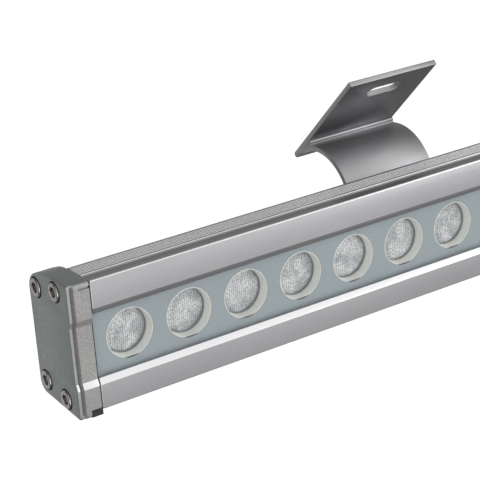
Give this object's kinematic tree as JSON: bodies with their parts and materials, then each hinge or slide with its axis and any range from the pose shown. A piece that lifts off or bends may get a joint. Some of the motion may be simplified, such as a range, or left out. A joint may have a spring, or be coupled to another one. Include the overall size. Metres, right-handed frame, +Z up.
{
  "type": "outdoor wall washer light",
  "caption": "Slim linear wall washer bar with a recessed row of round lenses, cast end caps and curved tilting wall brackets.",
  "frame": {"origin": "midway between the two bracket slots, on the wall face of the bracket plates", "axes": "+X along the lamp to the end with the cable entry, +Y into the wall, +Z up the wall"},
  "size_m": [1.018, 0.0884, 0.0633],
  "materials": {
    "anodised_aluminium": "satin anodised extrusion with fine lengthwise lines",
    "cast_aluminium": "painted sand-cast aluminium, smooth on the end face",
    "bracket_metal": "brushed stainless steel",
    "stainless": "bright stainless fasteners",
    "clear_glass": "clear toughened glass",
    "mask_paint": "matte blue-grey painted plate",
    "holder_white": "white moulded plastic",
    "lens_clear": "clear moulded optics with a textured face",
    "led_amber": "phosphor dome on a white package",
    "board_white": "white solder mask on a circuit board",
    "pad_grey": "soft heat-conducting pad",
    "chip_black": "moulded chip",
    "black_rubber": "matte black silicone rubber",
    "gland_metal": "dark plated cable gland"
  },
  "bodies": {
    "bracket_left": {"bracket_left": "bracket_metal"},
    "shoe_left": {"pivot_shoe_left": "anodised_aluminium", "shoe_set_screws_left": "stainless", "pivot_bolt_left": "stainless", "pivot_washers_left": "stainless", "pivot_nut_left": "stainless"},
    "lamp": {"housing": "anodised_aluminium", "front_glass": "clear_glass", "glass_seals": "black_rubber", "mask_plate": "mask_paint", "lens_holders": "holder_white", "lenses": "lens_clear", "led_packages": "led_amber", "led_boards": "board_white", "thermal_pads": "pad_grey", "board_screws": "stainless", "current_regulators": "chip_black", "board_connectors": "board_white", "input_terminal": "board_white", "end_cap_left": "cast_aluminium", "end_cap_right": "cast_aluminium", "end_gasket_left": "black_rubber", "end_gasket_right": "black_rubber", "end_cap_screws_left": "stainless", "end_cap_screws_right": "stainless", "gland_body": "gland_metal", "gland_o_ring": "black_rubber", "gland_seal": "black_rubber", "gland_nut": "gland_metal"},
    "shoe_right": {"pivot_shoe_right": "anodised_aluminium", "shoe_set_screws_right": "stainless", "pivot_bolt_right": "stainless", "pivot_washers_right": "stainless", "pivot_nut_right": "stainless"},
    "bracket_right": {"bracket_right": "bracket_metal"}
  },
  "joints": [
    {"name": "tilt_left", "type": "hinge", "parent": "bracket_left", "child": "shoe_left", "pos_m": [-0.32, -0.04992, -0.04355], "axis": [1, 0, 0], "range_deg": [-10, 135]},
    {"name": "shift_left", "type": "slide", "parent": "shoe_left", "child": "lamp", "axis": [1, 0, 0], "range_m": [-0.025, 0.025]},
    {"name": "shift_right", "type": "slide", "parent": "lamp", "child": "shoe_right", "axis": [1, 0, 0], "range_m": [-0.025, 0.025]},
    {"name": "tilt_right", "type": "hinge", "parent": "shoe_right", "child": "bracket_right", "pos_m": [0.32, -0.04992, -0.04355], "axis": [1, 0, 0], "range_deg": [-135, 10]}
  ],
  "couplings": [
    {"joint": "tilt_right", "follows": "tilt_left", "ratio": -1},
    {"joint": "shift_right", "follows": "shift_left", "ratio": -1}
  ]
}
